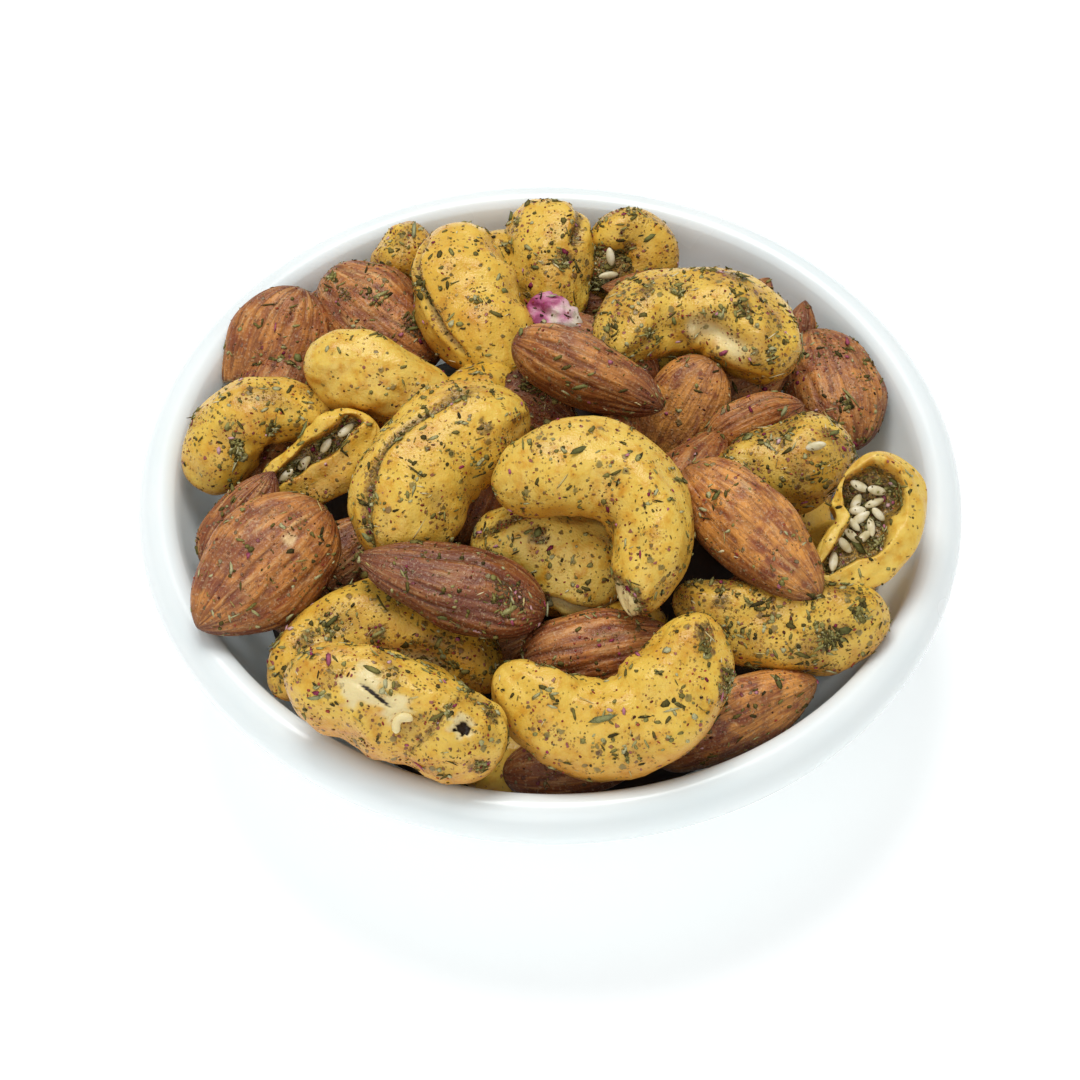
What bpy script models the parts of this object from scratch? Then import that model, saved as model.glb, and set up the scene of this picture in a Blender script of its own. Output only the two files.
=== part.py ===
"""A white dish heaped with herb-coated cashews and roasted almonds.

Lengths are in millimetres and become Blender's metres as each mesh is made.
The dish stands on its foot ring at the origin, +Z up, with its front towards -Y.
"""
import random
from math import atan2, pi, radians

import bmesh
import bpy
import numpy as np
from mathutils import Matrix, Vector

MM = 0.001

# Dish
EDGE_RADIUS = 47.0          # inner edge of the rim
EDGE_HEIGHT = 29.0
FLOOR_HEIGHT = 5.0
WALL_CURVE = 5.0            # power of r in the inner wall, which rises late and steeply
WALL_SHARES = (0.35, 0.5, 0.62, 0.72, 0.8, 0.87, 0.93, 0.97)   # of its radius, closer where steep
WALL_THICKNESS = 2.5
RIM_CENTRE_RADIUS = 48.9    # the rim is a thick oval roll
RIM_CENTRE_HEIGHT = 26.6
RIM_HALF_WIDTH = 2.8
RIM_HALF_HEIGHT = 3.4
RIM_START_ANGLE = 133.0     # on the oval, from its outermost point, in degrees
RIM_END_ANGLE = -108.0
FOOT_OUTER_RADIUS = 28.2
FOOT_INNER_RADIUS = 24.0
FOOT_ROUNDING = 0.7
RECESS_HEIGHT = 1.8         # the underside inside the foot ring
DISH_STEPS = 56

# Heap
GAP = 0.35                  # between the heap and the dish
CORE_TOP = 34.0
CORE_EDGE = 21.0
CORE_SHARES = (0.0, 0.3, 0.55, 0.78, 0.93)     # of its radius, where its dome is sampled
CORE_STEPS = 28
NUT_SIDES = 8
NUT_RINGS = 8
LENGTH_FITS = 6             # rounds in which a bent nut is scaled to its full length
INNER_SHARE = 0.8           # a nut's hollow side stops short of the middle of its bend
CUT_CROWN = 0.12            # rise of a split nut's cut face, as a share of the whole nut's
VIEW_LEAN = 38.0            # the nuts' turns are given as seen from 52 degrees above the front

# Middles of the nuts that lie under and behind the others, and the seed of how they lie
UNDER_NUTS = ((-17, -34.5, 29.5), (10, -34, 27.5), (-32.5, -16.5, 27.5), (-35.5, 5.5, 26),
              (-32, 20.5, 25.5), (-18, 31.5, 25.5), (0, 34, 25.5), (13, 34.5, 25), (28, 28, 25.5),
              (35.5, -9, 28), (-20, 9, 30.5), (-12, -20, 31.5), (25, -19, 30), (7, -1, 35.5),
              (5, 18, 34.5), (-10, 8, 33), (17, -3, 34), (16, 29.5, 31), (-9.5, 35, 28.5),
              (-36, 14, 28), (-28, 30, 27))
UNDER_SEED = 11

GLAZE = (0.83, 0.86, 0.88, 1.0)
SPICED_NUT = (0.55, 0.30, 0.08, 1.0)


def clear_scene():
    for obj in list(bpy.data.objects):
        bpy.data.objects.remove(obj)


def make_collection(name):
    collection = bpy.data.collections.new(name)
    bpy.context.scene.collection.children.link(collection)
    return collection


def make_material(name, colour, roughness):
    material = bpy.data.materials.new(name)
    material.use_nodes = True
    shader = material.node_tree.nodes["Principled BSDF"]
    shader.inputs["Base Color"].default_value = colour
    shader.inputs["Roughness"].default_value = roughness
    shader.inputs["Metallic"].default_value = 0.0
    return material


def turned(name, profile, steps, collection):
    """A Screw of the profile, which runs down its outer side from axis to axis."""
    mesh = bpy.data.meshes.new(name)
    points = [(r * MM, 0.0, z * MM) for r, z in profile]
    edges = [(i, i + 1) for i in range(len(points) - 1)]
    mesh.from_pydata(points, edges, [])
    obj = bpy.data.objects.new(name, mesh)
    collection.objects.link(obj)
    screw = obj.modifiers.new("Turn", "SCREW")
    screw.axis = "Z"
    screw.steps = steps
    screw.render_steps = steps
    screw.use_merge_vertices = True
    screw.merge_threshold = 0.00001
    return obj


def wall_height(radius):
    """The inner wall rises from the floor with a high power of the radius."""
    return FLOOR_HEIGHT + (EDGE_HEIGHT - FLOOR_HEIGHT) * (radius / EDGE_RADIUS) ** WALL_CURVE


def beside_wall(radius, distance):
    """The point at a distance square to the inner wall, inwards if positive."""
    steepest = (EDGE_HEIGHT - FLOOR_HEIGHT) * WALL_CURVE / EDGE_RADIUS
    slope = steepest * (radius / EDGE_RADIUS) ** (WALL_CURVE - 1)
    normal = Vector((-slope, 1.0)).normalized()
    return (radius + distance * normal.x, wall_height(radius) + distance * normal.y)


def rim_roll(points=10):
    """The oval roll of the rim, from its inner edge over the top to its underside."""
    angles = np.radians(np.linspace(RIM_START_ANGLE, RIM_END_ANGLE, points))
    r = RIM_CENTRE_RADIUS + RIM_HALF_WIDTH * np.cos(angles)
    z = RIM_CENTRE_HEIGHT + RIM_HALF_HEIGHT * np.sin(angles)
    return list(zip(r, z))


def foot_ring():
    """Down the outside of the foot, across its flat underside and up to the recess."""
    outer, inner, soft = FOOT_OUTER_RADIUS, FOOT_INNER_RADIUS, FOOT_ROUNDING
    return [(outer, soft), (outer - soft, 0.0), (inner + soft, 0.0), (inner, soft),
            (inner, RECESS_HEIGHT), (0.0, RECESS_HEIGHT)]


def make_dish(collection):
    floor = [(0.0, FLOOR_HEIGHT)]
    radii = [EDGE_RADIUS * share for share in WALL_SHARES]
    inside = [(r, wall_height(r)) for r in radii]
    outside_radii = [r for r in reversed(radii) if r > FOOT_OUTER_RADIUS - WALL_THICKNESS]
    outside = [beside_wall(r, -WALL_THICKNESS) for r in outside_radii]
    dish = turned("bowl", floor + inside + rim_roll() + outside + foot_ring(), DISH_STEPS, collection)
    dish.data.materials.append(make_material("white_glaze", GLAZE, 0.12))
    return dish


def make_core(collection):
    """The bare core of the heap: a low dome that fills the dish up to the gap."""
    radii = [EDGE_RADIUS * share for share in WALL_SHARES]
    side = [beside_wall(r, GAP) for r in radii if wall_height(r) + GAP < CORE_EDGE]
    edge_radius = side[-1][0]
    dome = []
    for share in CORE_SHARES:
        dome.append((edge_radius * share, CORE_TOP - (CORE_TOP - CORE_EDGE) * share ** 2))
    profile = dome + side[::-1] + [(0.0, FLOOR_HEIGHT + GAP)]
    return turned("nut_heap", profile, CORE_STEPS, collection)


def seen_turn(turn, tilt, spin):
    """Spin about the nut's length, lift of its +X end, then the turn in the picture."""
    lean = Matrix.Rotation(radians(VIEW_LEAN), 3, "X")
    return (lean @ Matrix.Rotation(radians(turn), 3, "Z") @ Matrix.Rotation(radians(-tilt), 3, "Y")
            @ Matrix.Rotation(radians(spin), 3, "X"))


def ball(name, collection, sides=NUT_SIDES, rings=NUT_RINGS):
    """A unit sphere with its poles on +X and -X, as arrays of pole place and angle."""
    mesh = bpy.data.meshes.new(name)
    form = bmesh.new()
    bmesh.ops.create_uvsphere(form, u_segments=sides, v_segments=rings, radius=1.0)
    form.to_mesh(mesh)
    form.free()
    obj = bpy.data.objects.new(name, mesh)
    collection.objects.link(obj)
    along = np.array([v.co.z for v in mesh.vertices])
    angle = np.array([atan2(v.co.y, v.co.x) for v in mesh.vertices])
    return obj, along, angle


def place(obj, points, at, turn_matrix):
    """Puts points in millimetres into the object's mesh, turned and moved to their place."""
    turned_points = points @ np.array(turn_matrix).T + np.array(at, dtype=float)
    obj.data.vertices.foreach_set("co", (turned_points * MM).ravel())
    obj.data.update()
    return obj


def almond(pieces, at, length, turn, width=9.0, thick=7.0, tilt=0.0, spin=0.0, tip=0.8):
    """A flat drop: half-width is cos(t/2) sin(t/2)^(2 tip) at the angle t from the pointed end."""
    obj, along, angle = ball("almond", pieces)
    t = np.arccos(np.clip(along, -1.0, 1.0))
    fine = np.linspace(0.0, pi, 181)
    widest = (np.cos(fine / 2) * np.sin(fine / 2) ** (2 * tip)).max()
    half = np.cos(t / 2) * np.sin(t / 2) ** (2 * tip) / widest
    points = np.stack([length / 2 * along, width / 2 * half * np.cos(angle),
                       thick / 2 * half ** 0.9 * np.sin(angle)], axis=1)
    return place(obj, points, at, seen_turn(turn, tilt, spin))


def cashew(pieces, at, length, turn, girth=11.0, bend=60.0, tilt=0.0, spin=0.0, flat=0.9,
           taper=0.15, elbow=0.35, lean=0.0, blunt=2.6, opened=False):
    """A bent bean: its centre line turns by the bend, mostly at the elbow, and bulges to +Y."""
    obj, along, angle = ball("cashew", pieces)
    s = np.linspace(-1.0, 1.0, 161)
    heading = radians(bend) / 2 * (s + elbow * np.sin(pi * s) / pi - lean * (np.cos(pi * s) + 1) / pi)
    step = s[1] - s[0]
    line_x = np.concatenate([[0.0], np.cumsum(np.cos(heading[:-1]) * step)])
    line_y = np.concatenate([[0.0], np.cumsum(-np.sin(heading[:-1]) * step)])
    here = np.interp(along, s, heading)
    bend_rate = np.interp(along, s, np.gradient(heading, step))
    radius = girth / 2 * np.sqrt(np.clip(1 - np.abs(along) ** blunt, 0, None)) * (1 + taper * along)
    across = radius * np.cos(angle)
    height = radius * flat * np.sin(angle)
    if opened:
        height = np.where(height > 0, CUT_CROWN * height, height)
    scale = length / 2
    for _ in range(LENGTH_FITS):
        hollow = np.maximum(across, -INNER_SHARE * scale / np.maximum(bend_rate, 0.01))
        points = np.stack([np.interp(along, s, line_x) * scale + hollow * np.sin(here),
                           np.interp(along, s, line_y) * scale + hollow * np.cos(here), height], axis=1)
        scale *= length / np.ptp(points[:, 0])
    points -= (points.max(axis=0) + points.min(axis=0)) / 2
    return place(obj, points, at, seen_turn(turn, tilt, spin))


def top_nuts(pieces):
    """The nuts on top, from the middle of the heap outwards."""
    cashew(pieces, (7, -13.5, 42.5), 27.3, -42, girth=13.3, bend=135, tilt=14, spin=-15,
           taper=-0.08, elbow=0.9)
    cashew(pieces, (-14.5, -5, 38.5), 27.3, 50, girth=14.5, bend=68, tilt=-14, spin=-12,
           taper=-0.1, elbow=0.8)
    cashew(pieces, (8.5, -38, 34.5), 29, 16, girth=13.4, bend=120, spin=180,
           flat=0.85, taper=0.05, elbow=0.6)
    cashew(pieces, (-18, -40.9, 37.1), 27.5, -21, girth=13, bend=20, spin=20, flat=0.78, taper=0.1, blunt=3)
    almond(pieces, (-12, -22.5, 37.5), 24, 164, width=11.3, thick=8.5, spin=35)
    almond(pieces, (24.5, -15, 39), 23.3, -44, width=12.5, thick=9, tilt=16, spin=10, tip=0.62)
    almond(pieces, (4.5, 8.5, 40.5), 20.8, -24, width=10.5, thick=8, tilt=10, spin=50, tip=0.66)
    cashew(pieces, (-21, 10, 36.5), 21, -20, girth=10, bend=30, taper=-0.1)
    cashew(pieces, (18.5, 19.5, 38), 26.5, -4, girth=12.5, bend=100, spin=-26, taper=0.1, elbow=0.5)


def side_nuts(pieces):
    """The nuts that lean on the dish's wall, clockwise from the left."""
    cashew(pieces, (-38, 5, 32.5), 20, 32, girth=11, bend=150, flat=0.85, taper=-0.25, elbow=0.3)
    almond(pieces, (-35.5, 22.5, 30.5), 14, 30, width=12.5, thick=6.5, tilt=-20, tip=0.55)
    almond(pieces, (-22, 25.5, 31), 19, -38, width=13, thick=8.5, tilt=12, spin=-20, tip=0.6)
    cashew(pieces, (-19.5, 36, 31), 9, 30, girth=8, bend=20)
    cashew(pieces, (-10.5, 23.5, 35.5), 24.5, 113, girth=13, bend=40, tilt=-26, taper=0.12)
    cashew(pieces, (-0.5, 35.5, 31), 18.5, 95, girth=12, bend=40, tilt=-28, taper=0.1)
    cashew(pieces, (11.5, 38, 30), 12.5, 60, girth=11, bend=30, tilt=-20, spin=-10)
    almond(pieces, (27.5, 33.5, 30), 8, 60, width=6, thick=4)
    almond(pieces, (33, 27.5, 28), 9, 75, width=6, thick=4)
    almond(pieces, (36, 17, 28), 18, 108, width=12.5, thick=8, tilt=-25, tip=0.6)
    cashew(pieces, (29, -1, 34.5), 18.5, 22, girth=10, bend=20, taper=0.1, blunt=3)
    cashew(pieces, (38.5, -11, 36), 19, -100, girth=9.5, bend=165, tilt=14,
           taper=-0.2, lean=-0.4, opened=True)
    cashew(pieces, (28, -23.5, 31.5), 26.5, -3, girth=11, bend=60, spin=180, flat=0.8, elbow=0.6)
    almond(pieces, (22.5, -33.5, 26), 22, 26, width=10.2, thick=7.5, spin=40, tip=0.6)
    almond(pieces, (3.5, -38.5, 23), 18, 8, width=8, thick=6)
    cashew(pieces, (-5.5, -36, 19.5), 11, 0, girth=8.5, bend=20)
    cashew(pieces, (-20, -25, 30), 29, 2, girth=11, bend=100, tilt=-8, flat=0.8)
    almond(pieces, (-35, -18, 34.5), 22, 224, width=14.5, thick=8.5, tilt=18, tip=0.66)
    almond(pieces, (-38, -8, 30.5), 15, 60, width=9, thick=5)


def deeper_nuts(pieces):
    """The nuts that show between the others."""
    cashew(pieces, (0, -12.5, 30), 20, -14, girth=13, bend=20, blunt=3)
    cashew(pieces, (-28.5, 0, 32.5), 17, 36, girth=9, bend=-20, opened=True)
    cashew(pieces, (33, -6, 26), 9, 30, girth=7, bend=20)
    cashew(pieces, (9.5, -22, 28.5), 10, 5, girth=7, bend=20)
    cashew(pieces, (12, 18.5, 31), 9, 0, girth=7, bend=20)
    almond(pieces, (6.5, -27.5, 31.5), 20, 10, width=10, thick=9, spin=10)
    almond(pieces, (16.5, 9.5, 32), 15.5, 240, width=10.5, thick=5.5, tilt=-10, tip=0.6)
    almond(pieces, (25.5, 6, 33.5), 13.5, 25, width=9, thick=5, spin=30, tip=0.6)
    almond(pieces, (-25.5, -9, 26), 14, 40, thick=5)
    almond(pieces, (-9, -3, 30.5), 14, 70, thick=5)
    almond(pieces, (-1.5, 8, 34), 12, -30, thick=4.5)
    almond(pieces, (-5.5, -20.5, 24), 12, 20, width=8, thick=4.5)
    almond(pieces, (24.5, 16, 29), 12, 20, width=8, thick=4.5)


def under_nuts(pieces):
    """The nuts beneath lie level and along the wall, turned a little by a seeded draw."""
    rng = random.Random(UNDER_SEED)
    for x, y, z in UNDER_NUTS:
        along_wall = atan2(y, x) + pi / 2 + radians(rng.uniform(-20, 20))
        kind = rng.choice((almond, cashew))
        nut = kind(pieces, (0, 0, 0), rng.uniform(18, 22), 0)
        level = Matrix.Rotation(along_wall, 3, "Z") @ seen_turn(0, 0, 0).inverted()
        nut.data.transform(Matrix.Translation(Vector((x, y, z)) * MM) @ level.to_4x4())


def keep_largest_shell(obj):
    """Drops loose scraps and fills sealed hollows, so that one closed skin is left."""
    form = bmesh.new()
    form.from_mesh(obj.data)
    form.faces.ensure_lookup_table()
    left = set(form.faces)
    shells = []
    while left:
        shell = set()
        front = [left.pop()]
        while front:
            face = front.pop()
            shell.add(face)
            for edge in face.edges:
                for other in edge.link_faces:
                    if other in left:
                        left.remove(other)
                        front.append(other)
        shells.append(shell)
    shells.sort(key=len, reverse=True)
    for shell in shells[1:]:
        bmesh.ops.delete(form, geom=list(shell), context="FACES")
    form.to_mesh(obj.data)
    form.free()


def bake_modifiers(obj):
    """Replaces the object's mesh by what its modifiers make of it."""
    view = bpy.context.evaluated_depsgraph_get()
    mesh = bpy.data.meshes.new_from_object(obj.evaluated_get(view))
    obj.modifiers.clear()
    obj.data = mesh


def make_heap(collection, pieces):
    heap = make_core(collection)
    bake_modifiers(heap)
    top_nuts(pieces)
    side_nuts(pieces)
    deeper_nuts(pieces)
    under_nuts(pieces)
    join = heap.modifiers.new("Join nuts", "BOOLEAN")
    join.operation = "UNION"
    join.operand_type = "COLLECTION"
    join.collection = pieces
    join.solver = "EXACT"
    bpy.context.view_layer.update()
    bake_modifiers(heap)
    for nut in list(pieces.objects):
        bpy.data.objects.remove(nut)
    keep_largest_shell(heap)
    heap.data.shade_smooth()
    heap.data.materials.clear()
    heap.data.materials.append(make_material("spiced_nuts", SPICED_NUT, 0.55))
    return heap


clear_scene()
dish_and_nuts = make_collection("bowl_of_spiced_nuts")
nut_pieces = make_collection("nut_pieces")
make_dish(dish_and_nuts)
make_heap(dish_and_nuts, nut_pieces)
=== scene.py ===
# %% [markdown]
# # A white dish heaped with herb-coated nuts
# The real thing is a small glazed porcelain dish, filled past its rim with cashews and almonds
# that were roasted and tossed in oil, herbs, sesame, chilli and rose petals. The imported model
# gives its two solids: the dish, and one heap. This lesson turns them into the finished object.
# Nuts are smooth closed forms with a few named sizes, so each is a formula on a grid of two
# parameters. A sculpted mesh would be another way, but a formula keeps nearly seventy nuts alike
# in kind and different in size.

# %% Load the frame and keep its box
import random
from functools import partial
from math import cos, radians, sin

import bpy
import numpy as np
from mathutils import Matrix, Vector


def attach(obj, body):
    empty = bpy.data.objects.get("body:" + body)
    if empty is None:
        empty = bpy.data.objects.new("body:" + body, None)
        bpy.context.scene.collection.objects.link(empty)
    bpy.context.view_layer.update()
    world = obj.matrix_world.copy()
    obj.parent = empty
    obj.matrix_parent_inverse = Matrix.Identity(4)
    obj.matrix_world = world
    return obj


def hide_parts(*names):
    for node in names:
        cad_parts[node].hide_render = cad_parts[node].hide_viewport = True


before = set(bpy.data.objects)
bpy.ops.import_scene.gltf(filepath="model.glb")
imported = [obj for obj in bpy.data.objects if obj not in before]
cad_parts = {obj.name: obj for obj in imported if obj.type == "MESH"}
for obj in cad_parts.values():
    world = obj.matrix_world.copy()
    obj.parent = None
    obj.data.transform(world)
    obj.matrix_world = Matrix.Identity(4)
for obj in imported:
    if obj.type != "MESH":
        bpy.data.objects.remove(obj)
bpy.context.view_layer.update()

MM = 0.001

# %% [markdown]
# ## Grids that close into a skin
# Every form here is a grid of rings and sides: one parameter runs from end to end, the other
# round. The last side joins the first, and one point at each end closes the skin. Several such
# forms become one mesh, which is what a scattered thing is: one piece for each kind.


# %% Grid faces and one mesh from many forms
def grid_faces(rings, sides):
    """Corner numbers of the quads between rings, and of the triangles to the two end points."""
    corner = np.arange(rings)[:, None] * sides + np.arange(sides)
    beside = np.arange(rings)[:, None] * sides + (np.arange(sides) + 1) % sides
    quads = np.stack([corner[:-1], corner[1:], beside[1:], beside[:-1]], axis=-1).reshape(-1, 4)
    first = np.full(sides, rings * sides)
    start = np.stack([first, corner[0], beside[0]], axis=-1)
    end = np.stack([first + 1, beside[-1], corner[-1]], axis=-1)
    return quads, np.concatenate([start, end])


def make_piece(name, points, faces, fields, material):
    """A mesh object from points in millimetres, lists of faces, and values for every point."""
    mesh = bpy.data.meshes.new(name)
    mesh.from_pydata(points * MM, [], faces)
    for field, values in fields.items():
        kind = "FLOAT_VECTOR" if values.ndim == 2 else "FLOAT"
        attribute = mesh.attributes.new(field, kind, "POINT")
        attribute.data.foreach_set("vector" if values.ndim == 2 else "value", values.ravel())
    mesh.shade_smooth()
    mesh.materials.append(material)
    piece = bpy.data.objects.new(name, mesh)
    bpy.context.scene.collection.objects.link(piece)
    triangles = sum(len(face) - 2 for face in faces)
    print(name, len(points), "points", triangles, "triangles")
    return piece


def join_forms(name, forms, material):
    """One mesh from grid forms, each with its points, rings, sides and fields."""
    faces = []
    start = 0
    for form in forms:
        quads, ends = grid_faces(form["rings"], form["sides"])
        faces += (quads + start).tolist() + (ends + start).tolist()
        start += len(form["points"])
    points = np.concatenate([form["points"] for form in forms])
    fields = {key: np.concatenate([form["fields"][key] for form in forms])
              for key in forms[0]["fields"]}
    return make_piece(name, points, faces, fields, material)


# %% [markdown]
# ## Uneven fields
# Real surfaces are never even, so the relief needs a smooth random value at any point. A sum of
# plane waves gives one from a seed, for whole arrays at once, and its size is a real length.


# %% A smooth random field
def waves(points, size, seed, count=24):
    """A sum of plane waves in random directions, each about size long, with a spread of one."""
    rng = np.random.default_rng(seed)
    directions = rng.normal(size=(count, 3))
    directions /= np.linalg.norm(directions, axis=1)[:, None]
    pace = 2 * np.pi / size * rng.uniform(0.7, 1.4, count)
    phase = rng.uniform(0, 2 * np.pi, count)
    heights = np.cos(points @ (directions * pace[:, None]).T + phase)
    return heights.sum(axis=1) * np.sqrt(2 / count)


def smooth(low, high, values):
    """0 below low, 1 above high, and the cubic step between."""
    t = np.clip((values - low) / (high - low), 0, 1)
    return t * t * (3 - 2 * t)


# %% [markdown]
# ## Colours and material nodes
# Colours are read as sRGB hex, as a paint chart gives them, and the renderer wants linear
# values. One helper adds a node with its settings and links, so that each material below reads
# as a list of what lies on the surface.


# %% Hex colours and a node helper
def linear(hex_colour):
    """An sRGB hex colour as linear values with alpha one."""
    channels = [int(hex_colour[i:i + 2], 16) / 255 for i in (1, 3, 5)]
    flat = [c / 12.92 if c <= 0.04045 else ((c + 0.055) / 1.055) ** 2.4 for c in channels]
    return (*flat, 1.0)


def fill(node, inputs):
    """Gives a node's inputs, by name or number, their values or links."""
    for key, value in inputs.items():
        if isinstance(value, bpy.types.NodeSocket):
            node.id_data.links.new(value, node.inputs[key])
        else:
            node.inputs[key].default_value = value


def add_node(tree, kind, inputs, out=0, stops=(), **settings):
    """Adds a node of that kind with its settings and inputs, and gives one of its outputs."""
    node = tree.nodes.new("ShaderNode" + kind)
    for key, value in settings.items():
        setattr(node, key, value)
    fill(node, inputs)
    for number, (place, hex_colour) in enumerate(stops):
        if number > 1:
            node.color_ramp.elements.new(1.0)
        node.color_ramp.elements[number].position = place
        node.color_ramp.elements[number].color = linear(hex_colour)
    return node.outputs[out]


def new_material(name, sockets):
    """A Principled material, what adds nodes to it, its shader and the object's own coordinates."""
    material = bpy.data.materials.new(name)
    material.use_nodes = True
    add = partial(add_node, material.node_tree)
    shader = material.node_tree.nodes["Principled BSDF"]
    fill(shader, sockets)
    return material, add, shader, add("TexCoord", {}, out="Object")


def coated(add, colour, coats):
    """The colour under a list of coats, each the share it covers, how strongly, and its colour."""
    for share, strength, over in coats:
        cover = add("Math", {0: share, 1: strength}, operation="MULTIPLY", use_clamp=True)
        over = linear(over) if isinstance(over, str) else over
        colour = add("Mix", {0: cover, 6: colour, 7: over}, out=2, data_type="RGBA")
    return colour


def surfaced(add, shader, colour, height, depth_mm):
    """Links the colour, and a relief of that many millimetres for a height of one."""
    relief = add("Bump", {"Height": height, "Distance": depth_mm * MM, "Strength": 1.0})
    fill(shader, {"Base Color": colour, "Normal": relief})


# %% [markdown]
# ## The camera
# The photograph looks down at the dish from 52 degrees, a short way off its middle and with a
# slight roll. Its lens is long. The camera's three directions follow from those angles.

# %% Camera
ELEVATION = radians(52.0)
ROLL = radians(0.7)
DISTANCE_MM = 520.0
TARGET_MM = Vector((-1.25, 2.1, 15.0))
LENS = 135.0                # on a 36 mm sensor


def add_camera():
    back = Vector((0, -cos(ELEVATION), sin(ELEVATION)))
    level = Vector((1, 0, 0))
    rising = Vector((0, sin(ELEVATION), cos(ELEVATION)))
    right = cos(ROLL) * level + sin(ROLL) * rising
    up = cos(ROLL) * rising - sin(ROLL) * level
    data = bpy.data.cameras.new("camera")
    data.lens = LENS
    data.sensor_width = 36.0
    camera = bpy.data.objects.new("camera", data)
    turn = Matrix((right, up, back)).transposed().to_4x4()
    camera.matrix_world = Matrix.Translation((TARGET_MM + DISTANCE_MM * back) * MM) @ turn
    bpy.context.scene.collection.objects.link(camera)
    bpy.context.scene.camera = camera


add_camera()

# %% [markdown]
# ## The dish
# The real dish is slip-cast or jiggered porcelain: a thick oval roll of a rim, a wall that
# rises late and steeply, and a foot ring. A lathe form is one profile turned round the axis, so
# the grid's two parameters are the place along the profile and the angle. The profile repeats
# the solid's own sizes, with more points.

# %% Dish profile and mesh
EDGE_RADIUS, EDGE_HEIGHT = 47.0, 29.0
FLOOR_HEIGHT, WALL_CURVE, WALL_THICKNESS = 5.0, 5.0, 2.5
RIM_RADIUS, RIM_HEIGHT = 48.9, 26.6             # middle of the rim's oval
RIM_HALF_WIDTH, RIM_HALF_HEIGHT = 2.8, 3.4
RIM_START, RIM_END = 133.0, -108.0              # degrees on the oval
FOOT_OUTER, FOOT_INNER, FOOT_ROUNDING, RECESS_HEIGHT = 28.2, 24.0, 0.7, 1.8
DISH_SIDES = 224


def wall_height(radius):
    """The inner wall rises from the floor with the fifth power of the radius."""
    return FLOOR_HEIGHT + (EDGE_HEIGHT - FLOOR_HEIGHT) * (radius / EDGE_RADIUS) ** WALL_CURVE


def beside_wall(radius, distance):
    """Points at a distance square to the inner wall, inwards if positive."""
    steepest = (EDGE_HEIGHT - FLOOR_HEIGHT) * WALL_CURVE / EDGE_RADIUS
    slope = steepest * (radius / EDGE_RADIUS) ** (WALL_CURVE - 1)
    length = np.sqrt(1 + slope ** 2)
    return radius - distance * slope / length, wall_height(radius) + distance / length


def dish_profile():
    """From the middle of the floor up the wall, over the rim, down the outside and to the recess."""
    inside = np.linspace(3.0, 0.985 * EDGE_RADIUS, 40)
    angles = np.radians(np.linspace(RIM_START, RIM_END, 44))
    outside = np.linspace(0.97 * EDGE_RADIUS, FOOT_OUTER - 1.5, 26)
    out_r, out_z = beside_wall(outside, -WALL_THICKNESS)
    quarter = np.radians(np.linspace(0, 90, 6))
    soft = FOOT_ROUNDING
    pieces = [
        (inside, wall_height(inside)),
        (RIM_RADIUS + RIM_HALF_WIDTH * np.cos(angles), RIM_HEIGHT + RIM_HALF_HEIGHT * np.sin(angles)),
        (out_r, out_z),
        (FOOT_OUTER - soft + soft * np.cos(quarter), soft - soft * np.sin(quarter)),
        (FOOT_INNER + soft - soft * np.sin(quarter), soft - soft * np.cos(quarter)),
        (np.linspace(FOOT_INNER, 2.0, 8), np.full(8, RECESS_HEIGHT)),
    ]
    return np.concatenate([r for r, _ in pieces]), np.concatenate([z for _, z in pieces])


def turned(radii, heights, sides, foot_height, top_height):
    """The profile at every angle, with an end point on the axis at either end."""
    around = 2 * np.pi * np.arange(sides) / sides
    x = radii[:, None] * np.cos(around)
    y = radii[:, None] * np.sin(around)
    z = np.repeat(heights[:, None], sides, axis=1)
    ends = [[0, 0, top_height], [0, 0, foot_height]]
    return np.concatenate([np.stack([x, y, z], axis=-1).reshape(-1, 3), ends])


# %% [markdown]
# ## The glaze
# White porcelain under a clear lead-free glaze is a diffuse white body below a smooth glass
# layer. The glass gives sharp reflections, and it pools and thins by a hair, which shows as a
# slow waviness in them. The tint leans to a cool white. The wall is thin enough to let some light
# through, which lifts the shade on its inner side, so the shader scatters light below the skin.


# %% Glazed porcelain
def glazed_porcelain():
    material, add, shader, place = new_material("glazed_porcelain", {
        "IOR": 1.52, "Roughness": 0.2, "Subsurface Weight": 0.5, "Subsurface Scale": 3.0 * MM,
        "Subsurface Radius": (1.0, 0.97, 0.94)})
    pooling, grain = [
        add("TexNoise", {"Vector": place, "Scale": 1 / (size_mm * MM), "Detail": detail})
        for size_mm, detail in ((14, 2.0), (2.5, 1.0))]
    colour = add("ValToRGB", {0: pooling}, stops=[(0.3, "#eefafb"), (0.7, "#f3fdfd")])
    gloss = add("MapRange", {"Value": pooling, "From Min": 0.2, "From Max": 0.8,
                             "To Min": 0.2, "To Max": 0.3})
    fill(shader, {"Roughness": gloss})
    surfaced(add, shader, colour, grain, 0.02)
    return material


def make_dish():
    radii, heights = dish_profile()
    points = turned(radii, heights, DISH_SIDES, RECESS_HEIGHT, FLOOR_HEIGHT)
    form = {"points": points, "rings": len(radii), "sides": DISH_SIDES, "fields": {}}
    dish = join_forms("glazed_dish", [form], glazed_porcelain())
    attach(dish, "root")
    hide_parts("bowl")


make_dish()

# %% [markdown]
# ## Nut forms
# A nut's grid has the angle t from one end to the other, and the angle round its length. An
# almond is a flat drop. A cashew is a bean whose centre line bends. Both then get relief: the
# almond's skin shrinks into grooves along its length as it roasts, and the cashew's halves meet
# in a crease, which is where herbs lodge. Relief is worked out in millimetres before the nut is
# turned into its place, so that it follows the nut.

# %% Nut grid and the turn into place
VIEW_LEAN = 38.0            # the nuts' turns are given as seen from 52 degrees above the front


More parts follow.
